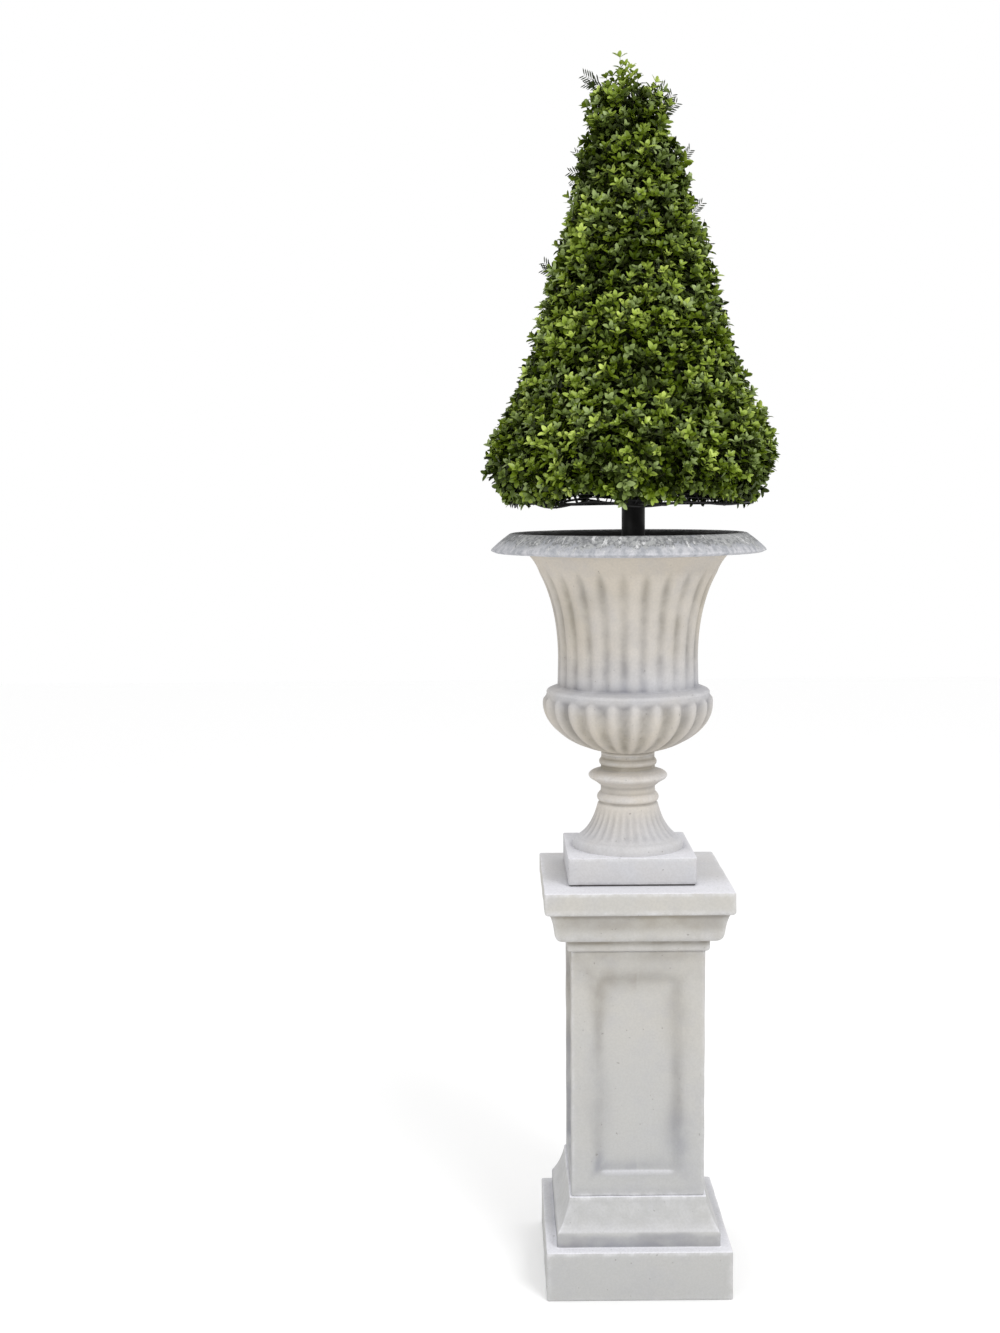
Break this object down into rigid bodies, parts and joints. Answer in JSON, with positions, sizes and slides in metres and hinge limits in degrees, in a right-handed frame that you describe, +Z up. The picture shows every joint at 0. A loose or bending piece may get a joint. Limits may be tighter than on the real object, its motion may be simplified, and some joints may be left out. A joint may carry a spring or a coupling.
{
  "type": "artificial boxwood cone topiary in an urn on a pedestal",
  "caption": "Clipped cone of artificial boxwood on a black post, planted in a fluted bell urn that stands on a square panelled pedestal.",
  "frame": {"origin": "on the floor, under the middle of the pedestal", "axes": "+Z up, -Y towards the front, +X to the viewer's right"},
  "size_m": [0.5257, 0.5133, 2.104],
  "materials": {
    "pedestal_stone": "matt cast stone with small air holes and a grey wash in the recesses",
    "urn_stone": "matt cast stone, warm white with a grey wash, weathered grey on the rim",
    "dark_filling": "rough, near black",
    "black_paint": "satin black",
    "black_plastic": "moulded black plastic",
    "leaves": "glossy moulded leaves, dark green with lime green tips"
  },
  "bodies": {
    "root": {"pedestal_base": "pedestal_stone", "pedestal_shaft": "pedestal_stone", "pedestal_cap": "pedestal_stone", "urn_foot": "urn_stone", "urn_bowl": "urn_stone", "pot_fill": "dark_filling", "post": "black_paint", "crown_form": "black_plastic", "crown": "leaves"}
  },
  "joints": []
}
